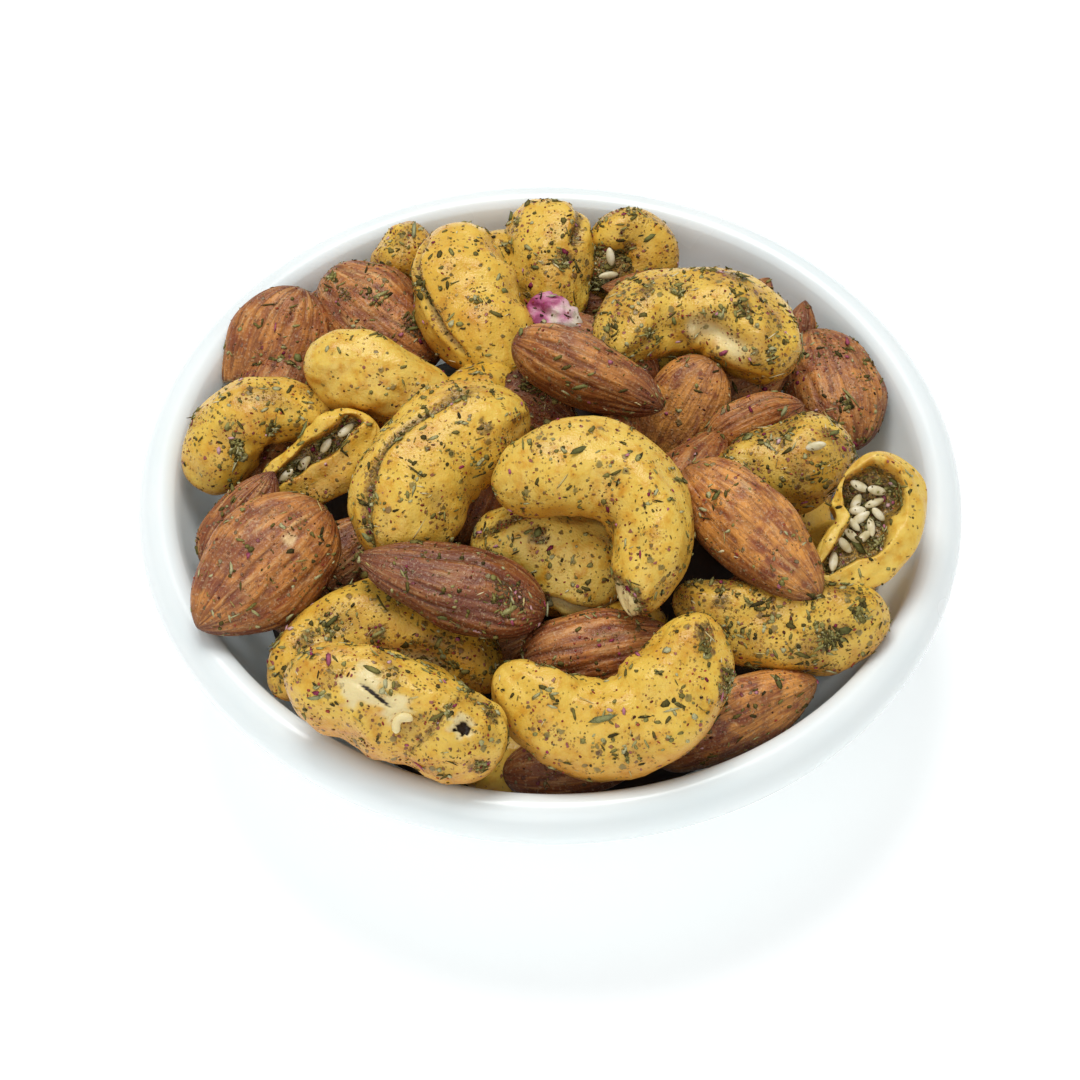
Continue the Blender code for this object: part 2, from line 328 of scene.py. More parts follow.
def nut_grid(rings, sides):
    """The angle t from the +X end and the angle round the length, with the two ends last."""
    t = np.pi * (np.arange(rings) + 0.6) / (rings + 0.2)
    around = 2 * np.pi * np.arange(sides) / sides
    t, around = np.meshgrid(t, around, indexing="ij")
    return np.append(t.ravel(), [0, np.pi]), np.append(around.ravel(), [0, 0])


def skin_places(radius, around, along_mm, seed=0):
    """The skin's own coordinates in millimetres, elsewhere in the random field for each seed."""
    return np.stack([radius * np.cos(around), radius * np.sin(around), along_mm], axis=1) + 40.0 * seed


def seen_turn(turn, tilt, spin):
    """Spin about the nut's length, lift of its +X end, then the turn in the picture."""
    matrix = (Matrix.Rotation(radians(VIEW_LEAN), 3, "X") @ Matrix.Rotation(radians(turn), 3, "Z")
              @ Matrix.Rotation(radians(-tilt), 3, "Y") @ Matrix.Rotation(radians(spin), 3, "X"))
    return np.array(matrix)


def crease(along, around, radius, start, end, depth, width):
    """A groove on the line from start to end, each (place along, degrees round), and its share."""
    share = np.clip((along - start[0]) / (end[0] - start[0]), 0, 1)
    line = np.radians(start[1] + (end[1] - start[1]) * share)
    across = ((around - line + np.pi) % (2 * np.pi) - np.pi) * radius
    low, high = min(start[0], end[0]), max(start[0], end[0])
    inside = smooth(low - 0.08, low + 0.08, along) * (1 - smooth(high - 0.08, high + 0.08, along))
    groove = np.exp(-(across / width) ** 2) * inside
    lips = np.exp(-((np.abs(across) - 2.2 * width) / (1.2 * width)) ** 2) * inside
    return (0.25 * lips - groove) * depth, groove


def near(along, around, length, radius, spot, seed, skin):
    """One inside a spot (place along, degrees round, size in mm) with an uneven edge."""
    place, degrees, size = spot
    turned_away = (around - radians(degrees) + np.pi) % (2 * np.pi) - np.pi
    away = np.hypot((along - place) * length / 2, turned_away * radius)
    return 1 - smooth(0.6 * size, size, away + 0.14 * size * waves(skin, 0.6 * size, seed))


def finish_nut(points, at, matrix, rings, sides, fields, cut=None):
    """The nut's grid form, in place, with the fields that its materials read.

    A cut is a direction in the picture, in degrees, and how far off the middle a broken nut ends.
    """
    placed = points @ matrix.T
    if cut:
        away = np.array(Matrix.Rotation(radians(VIEW_LEAN), 3, "X")) @ (
            cos(radians(cut[0])), sin(radians(cut[0])), 0)
        past = np.clip(placed @ away - cut[1], 0, None)
        placed = placed - 0.96 * past[:, None] * away
        fields["pale"] = np.maximum(fields["pale"], smooth(0, 0.3, past))
    return {"points": placed + np.array(at, dtype=float), "rings": rings, "sides": sides,
            "fields": fields, "matrix": matrix}


# %% Almond
ALMOND_ROUND = 5.0          # mean radius of the skin's own coordinates, mm
SWELL, BROAD_GROOVE, NARROW_GROOVE = 0.14, 0.24, 0.11       # relief, mm


def almond(at, length, turn, width=9.0, thick=7.0, tilt=0.0, spin=0.0, tip=0.8, herbs=0.7, tone=0.5,
           grid=(42, 140), chips=(), clumps=(), cut=None, seed=1):
    """A flat drop: half-width is cos(t/2) sin(t/2)^(2 tip) at the angle t from the pointed end."""
    t, around = nut_grid(*grid)
    along = np.cos(t)
    fine = np.linspace(0.0, np.pi, 181)
    widest = (np.cos(fine / 2) * np.sin(fine / 2) ** (2 * tip)).max()
    half = np.cos(t / 2) * np.sin(t / 2) ** (2 * tip) / widest
    skin = skin_places(ALMOND_ROUND, around, along * length / 2, seed)
    stretched = skin * (1.0, 1.0, 0.14)
    wrinkled = max(1.1 - 0.5 * tone, 0.45)
    broad = wrinkled * np.exp(-(waves(stretched, 3.0, seed) / 0.26) ** 2)
    narrow = wrinkled * np.exp(-(waves(stretched * (1, 1, 1.4), 1.7, seed + 1) / 0.3) ** 2)
    swell = SWELL * waves(skin, 8.0, seed + 2)
    relief = (swell - BROAD_GROOVE * broad - NARROW_GROOVE * narrow) * np.sqrt(half)
    pale = np.zeros(len(t))
    for *spot, depth in chips:
        share = near(along, around, length, width / 2, spot, seed + 3, skin)
        relief -= depth * share
        pale = np.maximum(pale, share)
    lodged = np.zeros(len(t))
    for spot in clumps:
        lodged = np.maximum(lodged, near(along, around, length, width / 2, spot, seed + 4, skin))
    # a lens-like section, a little sharper at its two edges than an oval
    edge = 1 + 0.03 * np.cos(2 * around)
    x = length / 2 * along
    y = (width / 2 * half * edge + relief) * np.cos(around)
    z = (thick / 2 * half ** 0.9 * edge + relief) * np.sin(around)
    patches = 0.6 + 0.8 * smooth(-0.5, 1.5, waves(skin, 7, seed + 5))
    dark_ends = 0.55 * smooth(0.75, 0.99, np.abs(along))
    fields = {"groove": np.clip(0.9 * broad + 0.6 * narrow + dark_ends, 0, 1), "pale": pale, "skin": skin,
              "lodged": lodged, "tone": np.full(len(t), tone), "herbs": herbs * patches + 7.0 * lodged}
    return finish_nut(np.stack([x, y, z], axis=1), at, seen_turn(turn, tilt, spin), *grid, fields, cut)


# %% Cashew
INNER_SHARE = 0.8           # a nut's hollow side stops short of the middle of its bend
LIP_CROWN = 0.3             # rise of a split nut's cut face, as a share of the whole nut's
TRENCH_DEPTH = 0.62         # of the groove in it, as a share of the half-girth
LENGTH_FITS = 6             # rounds of scaling until the bent nut has its length
HOLLOWS, PUCKERS = 0.3, 0.11    # relief, mm


def cashew(at, length, turn, girth=11.0, bend=60.0, tilt=0.0, spin=0.0, flat=0.9, taper=0.15,
           elbow=0.35, lean=0.0, blunt=2.6, trench=None, herbs=1.0, tone=0.5, grid=(52, 80),
           creases=(), slits=(), chips=(), holes=(), steps=(), clumps=(), waists=(), narrowing=0.0, seed=1):
    """A bent bean: its centre line turns by the bend, mostly at the elbow, and bulges to +Y.

    Its half-girth is sqrt(1 - |s|^blunt) with a taper, s being the place along. An opened nut is
    a half with a cut face and a trench between two shares of its half-width.
    """
    t, around = nut_grid(*grid)
    along = np.cos(t)
    s = np.linspace(-1.0, 1.0, 161)
    heading = radians(bend) / 2 * (s + elbow * np.sin(np.pi * s) / np.pi
                                   - lean * (np.cos(np.pi * s) + 1) / np.pi)
    step = s[1] - s[0]
    line_x = np.concatenate([[0.0], np.cumsum(np.cos(heading[:-1]) * step)])
    line_y = np.concatenate([[0.0], np.cumsum(-np.sin(heading[:-1]) * step)])
    here = np.interp(along, s, heading)
    bend_rate = np.interp(along, s, np.gradient(heading, step))
    radius = girth / 2 * np.sqrt(np.clip(1 - np.abs(along) ** blunt, 0, None)) * (1 + taper * along)
    for place, share in waists:
        radius = radius * (1 - share * np.exp(-((along - place) / 0.2) ** 2))
    skin = skin_places(girth / 2, around, along * length / 2, seed)
    fade = np.sqrt(np.clip(radius / (girth / 2), 0, 1))
    relief = (HOLLOWS * waves(skin, 9.0, seed) + PUCKERS * waves(skin, 3.4, seed + 1)) * fade
    marks = {name: np.zeros(len(t)) for name in ("lodged", "dark", "pale")}

    def mark(name, share):
        np.maximum(marks[name], share, out=marks[name])

    for name, lines in (("lodged", creases), ("dark", slits)):
        for start, end, depth, width, *bare in lines:
            change, share = crease(along, around, radius, start, end, depth, width)
            relief += change * fade
            bare = bare[0] if bare else 0.0
            mark(name, (1 - bare) * share)
            mark("pale", bare * share)
    for name, spots, own in (("pale", chips, 3), ("dark", holes, 8)):
        for *spot, depth in spots:
            share = near(along, around, length, radius, spot, seed + own, skin)
            relief -= depth * share
            mark(name, share)
    for place, degrees, slant, drop in steps:
        past = along + slant * np.cos(around - radians(degrees)) + 0.01 * waves(skin, 3.0, seed + 4) - place
        relief -= drop * smooth(-0.02, 0.01, past)
        mark("pale", 0.9 * smooth(-0.01, 0.03, past))
        mark("lodged", np.exp(-(past / 0.03) ** 2))
    for spot in clumps:
        mark("lodged", 0.8 * near(along, around, length, radius, spot, seed + 6, skin))
    across = (radius + relief) * np.cos(around)
    height = (radius + relief) * flat * np.sin(around)
    if trench:
        middle = (trench[0] + trench[1]) / 2
        reach = (trench[1] - trench[0]) / 2 * (1 - narrowing * smooth(0.1, 0.6, along))
        off_middle = np.abs(np.cos(around) - middle) / reach + 0.12 * waves(skin, 4.0, seed + 7)
        dug = (1 - smooth(0.6, 1.0, off_middle)) * (1 - smooth(0.78, 0.92, np.abs(along)))
        face = radius * (LIP_CROWN * np.sin(around) - TRENCH_DEPTH * dug) + relief * np.sin(around)
        open_side = np.sin(around) > 0
        height = np.where(open_side, face, height)
        mark("lodged", np.where(open_side, smooth(0.3, 0.8, dug), 0))
    scale = length / 2
    for _ in range(LENGTH_FITS):
        hollow = np.maximum(across, -INNER_SHARE * scale / np.maximum(bend_rate, 0.01))
        points = np.stack([np.interp(along, s, line_x) * scale + hollow * np.sin(here),
                           np.interp(along, s, line_y) * scale + hollow * np.cos(here), height], axis=1)
        scale *= length / np.ptp(points[:, 0])
    points -= (points.max(axis=0) + points.min(axis=0)) / 2
    patches = 0.5 + 0.9 * smooth(-0.4, 1.6, waves(skin, 6, seed + 5))
    coating = herbs * patches * (1 - 0.85 * marks["pale"]) + 5.0 * marks["lodged"]
    fields = {**marks, "skin": skin, "tone": np.full(len(t), tone),
              "herbs": coating * (1 - smooth(0.0, 0.3, marks["dark"]))}
    return finish_nut(points, at, seen_turn(turn, tilt, spin), *grid, fields)


# %% [markdown]
# ## Where each nut lies
# The nuts lie as the photograph shows them. Each call gives the middle in millimetres, the
# length, and the turn as it looks in the picture. Creases and chips are added where they show:
# a crease is a start and an end, each a place along the nut from -1 to 1 and degrees round it,
# then its depth, its width and how bare of coating it is. A spot, such as a clump of herbs or a
# chip, is a place along, degrees round and a size, and a chip has a depth.

# %% Cashews on top
# a nut's tone is partly its own colour and partly painted light: nuts that lie in shade get a higher tone,
# which paints them lighter
top_cashews = [
    cashew((7, -13.5, 42.5), 27.3, -42, girth=11.2, bend=135, tilt=14, spin=-15, taper=-0.15, blunt=3.4,
           elbow=0.9, herbs=0.8, tone=0.9, steps=((0.88, 190, 0.08, 0.45),), clumps=((0.3, 170, 1.6),),
           seed=1),
    cashew((-14.5, -5, 38.5), 27.3, 50, girth=14.5, bend=68, tilt=-14, spin=-12, taper=-0.1,
           elbow=0.8, herbs=0.95, tone=0.7, creases=(((-0.9, 48), (0.55, 62), 0.8, 0.55, 0.0),),
           clumps=((0.55, 110, 1.2), (-0.1, 60, 1.0)), seed=2),
    cashew((8.5, -38, 34.5), 29, 16, girth=12.6, bend=132, spin=180, flat=0.85, taper=0.05,
           elbow=0.6, herbs=0.85, tone=0.6, seed=3,
           clumps=((0.86, 285, 1.6), (0.62, 330, 1.8), (0.25, 345, 1.6), (-0.35, 350, 1.2),
                   (-0.8, 200, 1.4))),
    cashew((-21, 10, 36.5), 21, -20, girth=10, bend=30, taper=-0.1, herbs=0.4, tone=1.0, seed=5),
    cashew((18.5, 19.8, 38), 26.5, -4, girth=12.2, bend=145, spin=-38, taper=0.2, elbow=0.5,
           herbs=2.2, tone=0.6, creases=(((-0.15, 150), (0.85, 148), 0.9, 1.3, 1.0),),
           clumps=((0.2, 60, 1.6), (0.5, 100, 1.4), (-0.4, 80, 1.2)), seed=6),
]

# %% Cashews round the side
side_cashews = [
    cashew((-38, 5.6, 33), 20, 32, girth=9.8, bend=165, spin=-12, taper=-0.2, elbow=0.2,
           herbs=1.2, tone=0.6, clumps=((-0.5, 190, 1.4),), seed=7),
    cashew((-19.5, 36, 31), 9, 30, girth=8, bend=20, herbs=2.0, tone=0.4, seed=8),
    cashew((-10.5, 23.5, 35.5), 24.5, 113, girth=13, bend=40, tilt=-26, taper=0.12, herbs=0.8,
           tone=0.4, creases=(((-0.5, 42), (0.7, 52), 0.9, 0.45, 0.3),), seed=9),
    cashew((-0.5, 35.2, 30.6), 18.5, 95, girth=11.4, bend=45, tilt=-28, taper=0.3, herbs=1.2, tone=0.6,
           creases=(((0.05, 125), (0.95, 135), 1.2, 0.7, 0.0),), clumps=((-0.2, 110, 1.4),), seed=10),
    cashew((11.3, 38.4, 31), 12.5, -48, girth=7.6, bend=200, tilt=-10, taper=0.1, herbs=1.4, tone=0.5,
           clumps=((-0.2, 120, 1.4), (-0.8, 150, 2.0)), seed=11),
    cashew((28.4, -1.8, 34.3), 19.5, 22, girth=11.3, bend=20, taper=0.05, blunt=3, herbs=1.9, tone=0.7,
           clumps=((0.7, 60, 1.2),), seed=12),
    cashew((28, -23.5, 31.5), 26.5, -3, girth=11, bend=60, spin=180, flat=0.8, elbow=0.6,
           herbs=2.5, tone=0.6, clumps=((-0.6, 250, 1.0),), seed=13),
    cashew((-5.5, -36, 19.5), 11, 0, girth=8.5, bend=20, herbs=0.6, tone=0.2, seed=14),
    cashew((-20, -25, 30), 29, 2, girth=10.8, bend=110, tilt=-8, spin=-22, elbow=0.6, herbs=1.6, tone=0.4,
           creases=(((-0.5, 148), (0.7, 150), 0.7, 1.4, 0.6),),
           clumps=((-0.1, 120, 1.6), (-0.6, 70, 1.4), (0.3, 130, 1.2)), seed=15),
]

# %% Opened and split cashews
FINE = (96, 144)            # rings and sides of a nut whose skin is split
half_right = cashew((39.3, -12, 36), 19, -106, girth=10.8, bend=105, tilt=14, taper=-0.28, lean=-0.3,
                    trench=(-0.84, 0.42), narrowing=0.3, herbs=0.3, tone=1.0, seed=16, grid=FINE)
half_left = cashew((-28.5, 0, 32.5), 17, 36, girth=9, bend=-20, trench=(0.05, 0.64), herbs=0.8,
                   tone=0.6, seed=17, grid=FINE)
# its skin has a long slit in a bare patch, with a curl of skin, and a small hole to the right
split_front = cashew((-18, -40.9, 37.1), 27.5, -21, girth=13, bend=20, spin=20, flat=0.78, taper=0.1,
                     blunt=3, herbs=1.4, tone=0.7, waists=((0.33, 0.12), (-0.45, 0.07)), seed=4,
                     creases=(((0.28, 115), (0.42, 30), 0.8, 0.6, 0.0),),
                     slits=(((-0.34, 58), (-0.04, 73), 0.7, 0.3),),
                     chips=((-0.3, 60, 3.1, 0.1), (-0.02, 72, 2.2, 0.1), (0.56, 58, 1.8, 0.3)),
                     holes=((0.58, 58, 1.15, 1.3),), clumps=((0.85, 100, 1.4), (0.72, 15, 1.4)), grid=FINE)

# %% Cashews that show between the others
SMALL = (26, 40)            # rings and sides of a nut that shows little of itself
deeper_cashews = [
    cashew((0, -14, 32), 20, -14, girth=13, bend=20, blunt=3, herbs=0.8, tone=1.5,
           creases=(((-0.1, 138), (0.95, 140), 0.9, 0.5, 1.0), ((-0.9, 70), (-0.3, 40), 0.5, 0.7, 0.0)),
           clumps=((-0.2, 70, 1.4), (0.1, 140, 1.0)), seed=18),
    cashew((33, -8, 21), 9, 30, girth=6, bend=20, herbs=1.5, tone=0.4, grid=SMALL, seed=19),
    cashew((9.5, -22, 28.5), 10, 5, girth=7, bend=20, herbs=1.2, tone=0.5, grid=SMALL, seed=20),
    cashew((12, 18.5, 31), 9, 0, girth=7, bend=20, herbs=0.6, tone=0.6, grid=SMALL, seed=21),
    # full of herbs and seeds, in the fold between two nuts at the back
    cashew((7.4, 36.4, 28.5), 9.5, 60, girth=8, bend=20, herbs=2.0, tone=0.0, clumps=((0.0, 90, 7.0),),
           grid=SMALL, seed=23),
]

# %% Almonds
shown_almonds = [
    almond((-12, -22.5, 37.5), 24, 164, width=11.3, thick=8.5, spin=35, herbs=0.7, tone=0.0,
           clumps=((-0.62, 75, 2.6),), seed=31),
    almond((24.5, -15, 39), 23.3, -44, width=11.0, thick=9, tilt=16, spin=10, tip=0.62, herbs=0.5,
           tone=1.2, seed=32),
    almond((4.5, 8.5, 40.5), 20.8, -24, width=10.5, thick=8, tilt=10, spin=50, tip=0.66, herbs=0.5,
           tone=0.6, seed=33),
    almond((-35.5, 21.2, 28.9), 18, -112, width=13.4, thick=7.5, tip=0.55, herbs=0.5, tone=0.6,
           cut=(-84, 3.1), seed=34),
    almond((-22, 25.5, 31), 19, -38, width=13, thick=8.5, tilt=12, spin=-20, tip=0.6, herbs=0.8,
           tone=0.6, clumps=((0.55, 80, 2.4), (-0.5, 110, 1.2)), seed=35),
    almond((36, 17, 28), 18, 108, width=12.5, thick=8, tilt=-25, tip=0.6, herbs=1.0, tone=0.8, seed=36),
    almond((22.5, -33.5, 26), 22, 26, width=10.2, thick=7.5, spin=40, tip=0.6, herbs=0.6, tone=1.6,
           seed=37),
    almond((-35, -18, 34.5), 22, 224, width=14.5, thick=8.5, tilt=18, tip=0.66, herbs=0.5, tone=0.6,
           chips=((-0.35, 92, 1.0, 0.12),), seed=38),
    almond((6.5, -27.5, 31.5), 20, 10, width=10, thick=9, spin=10, herbs=0.8, tone=0.4, seed=39),
    almond((16.5, 9.5, 32), 15.5, 240, width=10.5, thick=5.5, tilt=-10, tip=0.6, herbs=0.35, tone=2.0,
           seed=40),
    almond((25.5, 6, 33.5), 13.5, 25, width=9, thick=5, spin=30, tip=0.6, herbs=0.6, tone=0.6, seed=41),
    almond((-38, -8, 30.5), 15, 60, width=9, thick=5, herbs=1.0, tone=0.3, seed=42),
]
deeper_almonds = [
    almond((26.5, 31.5, 28.5), 7, 60, width=5, thick=4, grid=SMALL, seed=43),
    almond((32, 26.8, 27.4), 9, 80, width=5, thick=4, grid=SMALL, seed=44),
    almond((3.5, -38.5, 23), 18, 8, width=8, thick=6, tone=0.2, grid=SMALL, seed=45),
    almond((-25.5, -9, 26), 14, 40, thick=5, grid=SMALL, seed=46),
    almond((-9, -3, 30.5), 14, 70, thick=5, grid=SMALL, seed=47),
    almond((-1.5, 8, 34), 12, -30, thick=4.5, herbs=1.5, tone=0.0, grid=SMALL, seed=48),
    almond((-5.5, -20.5, 24), 12, 20, width=8, thick=4.5, grid=SMALL, seed=49),
    almond((24.5, 16, 29), 12, 20, width=8, thick=4.5, grid=SMALL, seed=50),
]
print(len(shown_almonds) + len(deeper_almonds), "almonds placed by eye")

# %% [markdown]
# ## Nuts beneath and behind
# The nuts that carry the top ones show only in the gaps and from the back. They lie level,
# along the wall, turned by a seeded draw, as a poured heap settles.

# %% Nuts beneath
UNDER_PLACES = ((-17, -34.5, 29.5), (10, -34, 27.5), (-32.5, -16.5, 27.5), (-35.5, 5.5, 26),
                (-32, 20.5, 21.5), (-18, 31.5, 25.5), (0, 34, 25.5), (13, 34.5, 25), (28, 28, 25.5),
                (35.5, -9, 20), (-20, 9, 30.5), (-12, -20, 31.5), (25, -19, 30), (7, -1, 35.5),
                (5, 18, 34.5), (-10, 8, 33), (17, -3, 34), (16, 29.5, 31), (-9.5, 35, 28.5),
                (-36, 14, 28), (-28, 30, 27), (31, 7, 20.5), (24, 3, 24), (-1, -1, 29))


def nuts_beneath():
    """Level nuts at the named places, each along the wall and of a drawn kind and length."""
    rng = random.Random(11)
    level = np.array(Matrix.Rotation(radians(-VIEW_LEAN), 3, "X"))
    kinds = {"almond": [], "cashew": []}
    for number, (x, y, z) in enumerate(UNDER_PLACES):
        turn = np.degrees(np.arctan2(y, x)) + 90 + rng.uniform(-20, 20)
        kind = rng.choice(("almond", "cashew"))
        make = almond if kind == "almond" else cashew
        form = make((0, 0, 0), rng.uniform(18, 22), 0, grid=SMALL, herbs=0.8, tone=0.3, seed=60 + number)
        flat_turn = np.array(Matrix.Rotation(radians(turn), 3, "Z")) @ level
        form["points"] = form["points"] @ flat_turn.T + (x, y, z)
        kinds[kind].append(form)
    return kinds


beneath = nuts_beneath()
print({kind: len(forms) for kind, forms in beneath.items()}, "nuts beneath")

# %% [markdown]
# ## Sesame and a curl of skin
# Hulled sesame seeds are small ivory drops. Most lie in the trench of the opened cashew, where
# the oil glued them. A seed's place is a point of that nut's own grid, so it always rests on it.
# The curl is skin that has peeled off beside the slit: the cashew's own formula, very small.


# %% Seeds and the curl of skin
SEED_LENGTHS, SEED_WIDTHS, SEED_THICK = (2.1, 2.7), (1.5, 1.8), 1.2
SEED_LIFT = 0.75            # its middle stands that far off the nut, mm


def drop(at, length, width, thick, matrix, grid=(9, 12)):
    """A flat drop as the almond's, without relief."""
    t, around = nut_grid(*grid)
    half = np.cos(t / 2) * np.sin(t / 2) ** 1.1 / 0.72
    points = np.stack([length / 2 * np.cos(t), width / 2 * half * np.cos(around),
                       thick / 2 * half * np.sin(around)], axis=1)
    return {"points": points @ matrix.T + at, "rings": grid[0], "sides": grid[1],
            "fields": {"herbs": np.full(len(t), 0.5)}}


def on_nut(form, along, share):
    """The point of a nut's grid at a place along it and a share of its half-width."""
    ring = round(np.arccos(along) / np.pi * (form["rings"] + 0.2) - 0.6)
    side = round(np.arccos(share) / (2 * np.pi) * form["sides"])
    return form["points"][ring * form["sides"] + side]


def seeds_on(form, spots, rng):
    """Seeds at (place along, share of half-width, turn in degrees), each a little tilted."""
    seeds = []
    for along, share, turn in spots:
        tilt = Matrix.Rotation(radians(turn), 3, "Z") @ Matrix.Rotation(rng.uniform(-0.35, 0.35), 3, "Y")
        matrix = form["matrix"] @ np.array(tilt)
        at = on_nut(form, along, share) + form["matrix"] @ (0, 0, SEED_LIFT)
        seeds.append(drop(at, rng.uniform(*SEED_LENGTHS), rng.uniform(*SEED_WIDTHS), SEED_THICK, matrix))
    return seeds


seed_rng = random.Random(5)
right_spots = [(-0.66, -0.35, 80), (-0.54, 0.0, 100), (-0.42, -0.5, 170), (-0.4, -0.1, 130),
               (-0.28, -0.45, 110), (-0.24, 0.0, 60), (-0.14, -0.4, 140), (-0.06, -0.1, 20),
               (0.02, -0.5, 60), (0.1, -0.15, 150), (0.2, -0.4, 70), (0.4, -0.4, 60), (0.66, -0.25, 8)]
left_spots = [(0.6, 0.3, 5), (0.2, 0.28, 20), (-0.2, 0.3, 12), (-0.55, 0.25, 8)]
seed_forms = seeds_on(half_right, right_spots, seed_rng) + seeds_on(half_left, left_spots, seed_rng)
seed_forms += seeds_on(side_cashews[5], [(0.5, 0.2, -10)], seed_rng)
seed_forms += seeds_on(deeper_cashews[-1], [(0.3, 0.1, 40), (-0.2, -0.2, 130)], seed_rng)
curl_at = on_nut(split_front, 0.08, 0.15) + split_front["matrix"] @ (0, 0, 0.5)
curl = cashew(curl_at, 2.9, 40, girth=1.1, bend=165, flat=0.8, blunt=4, herbs=0.0, tone=1.0,
              chips=((0.0, 90, 9.0, 0.0),), seed=22, grid=(14, 14))


# %% [markdown]
# ## Coating on the cashews
# A cashew's skin is an ivory kernel under a film of oil and turmeric: satin, yellow, uneven,
# deeper where it pools. Fine spice sits in it as specks far smaller than a millimetre, which
# are drawn as cells of a Voronoi pattern: a speck where a cell's middle is near and a random
# number of that cell is under the local density. The larger flakes are real pieces, made below.


# %% Specks
PUSH_MM = 0.5               # how far noise pushes the spots about, so that they aren't round


def specks(add, place, cell_mm, radius_share, density):
    """A mask of spots in some of the cells of that size, and each cell's random value."""
    cells = add("TexVoronoi", {"Vector": place, "Scale": 1 / (cell_mm * MM)}).node
    spot = add("MapRange", {"Value": cells.outputs["Distance"], "From Min": radius_share,
                            "From Max": 0.6 * radius_share}, interpolation_type="SMOOTHSTEP")
    first, second = [add("SeparateColor", {0: cells.outputs["Color"]}, out=channel) for channel in (0, 1)]
    chosen = add("Math", {0: first, 1: density}, operation="LESS_THAN")
    return add("Math", {0: spot, 1: chosen}, operation="MULTIPLY"), second


def speckled(add, place, colour, coat, layers):
    """The colour under layers of specks: cell in mm, spot's share of it, density, strength, colours."""
    push = add("TexNoise", {"Vector": place, "Scale": 1 / (PUSH_MM * MM), "Detail": 1.0}, out=1)
    uneven = add("VectorMath", {0: push, 1: (PUSH_MM * MM,) * 3, 2: place}, operation="MULTIPLY_ADD")
    height = 0.0
    for cell_mm, radius_share, density, strength, stops in layers:
        local = add("Math", {0: coat, 1: density}, operation="MULTIPLY")
        spots, kinds = specks(add, uneven, cell_mm, radius_share, local)
        over = add("ValToRGB", {0: kinds}, stops=stops)
        colour = coated(add, colour, [(spots, strength, over)])
        height = add("Math", {0: spots, 1: 0.5, 2: height}, operation="MULTIPLY_ADD")
    return colour, height


# %% Turmeric-coated cashew
def coated_cashew():
    material, add, shader, place = new_material("turmeric_coated_cashew", {
        "IOR": 1.48, "Roughness": 0.34, "Subsurface Weight": 0.1, "Subsurface Scale": 1.0 * MM,
        "Subsurface Radius": (1.0, 0.6, 0.25)})
    tone, pale, lodged, dark, herbs = [
        add("Attribute", {}, out="Fac", attribute_name=name)
        for name in ("tone", "pale", "lodged", "dark", "herbs")]
    pools, mottle, powder = [
        add("TexNoise", {"Vector": place, "Scale": 1 / (size_mm * MM), "Detail": detail})
        for size_mm, detail in ((6, 4.0), (1.3, 4.0), (0.3, 2.0))]
    facing = add("SeparateXYZ", {0: add("NewGeometry", {}, out="Normal")}, out="Z")
    yellow = add("ValToRGB", {0: pools}, stops=[(0.34, "#cb8b1b"), (0.46, "#dda92d"), (0.62, "#e8bd44")])
    # low is the sides that face down, painted a deeper orange as shade
    warm, light, filled, painted_slit_shade, grain, low = [
        add("MapRange", {"Value": value, "From Min": start, "From Max": end},
            interpolation_type="SMOOTHSTEP")
        for value, start, end in ((mottle, 0.48, 0.75), (mottle, 0.75, 0.3), (lodged, 0.3, 0.9),
                                  (dark, 0.3, 0.7), (powder, 0.38, 0.54), (facing, 0.55, -0.35))]
    # a nut's tone lightens these patches, as its own colour and as painted light on nuts in shade
    light = add("Math", {0: light, 1: tone}, operation="MULTIPLY")
    # the coating is thick where the oil pooled, and there its finest dust dulls the yellow
    pooled = add("MapRange", {"Value": pools, "From Min": 0.35, "From Max": 0.65,
                              "To Min": 1.3, "To Max": 0.5})
    coat = add("Math", {0: herbs, 1: pooled}, operation="MULTIPLY")
    film = add("MapRange", {"Value": coat, "From Min": 0.7, "From Max": 2.7, "To Min": 0.0, "To Max": 0.8})
    kernel = coated(add, yellow, [(warm, 0.55, "#cf8d26"), (light, 1.0, "#ecc95e"), (film, 1.0, "#a07a2c"),
                                  (low, 0.7, "#bd7513"), (pale, 0.85, "#ecdca6")])
    colour, height = speckled(add, place, kernel, coat, [
        (0.4, 0.42, 0.42, 0.55, [(0.0, "#7d5c1c"), (0.5, "#94602a"), (0.85, "#93452c")]),
        (0.75, 0.4, 0.26, 0.85, [(0.0, "#473d1a"), (0.4, "#6a5122"), (0.7, "#763826"), (0.9, "#8f3b4a")]),
        (1.5, 0.36, 0.2, 0.75, [(0.0, "#55502c"), (0.5, "#716a3a"), (0.8, "#68482a")]),
    ])
    crust = add("Math", {0: filled, 1: grain}, operation="MULTIPLY")
    # the slit and the hole are painted nearly black, as the shade inside them
    finished = coated(add, colour, [(crust, 0.7, "#5c4a22"), (painted_slit_shade, 1.0, "#2a180c")])
    skin = add("Math", {0: powder, 1: 0.45, 2: mottle}, operation="MULTIPLY_ADD")
    rough = add("Math", {0: skin, 1: height}, operation="ADD")
    surfaced(add, shader, finished, rough, 0.18)
    return material
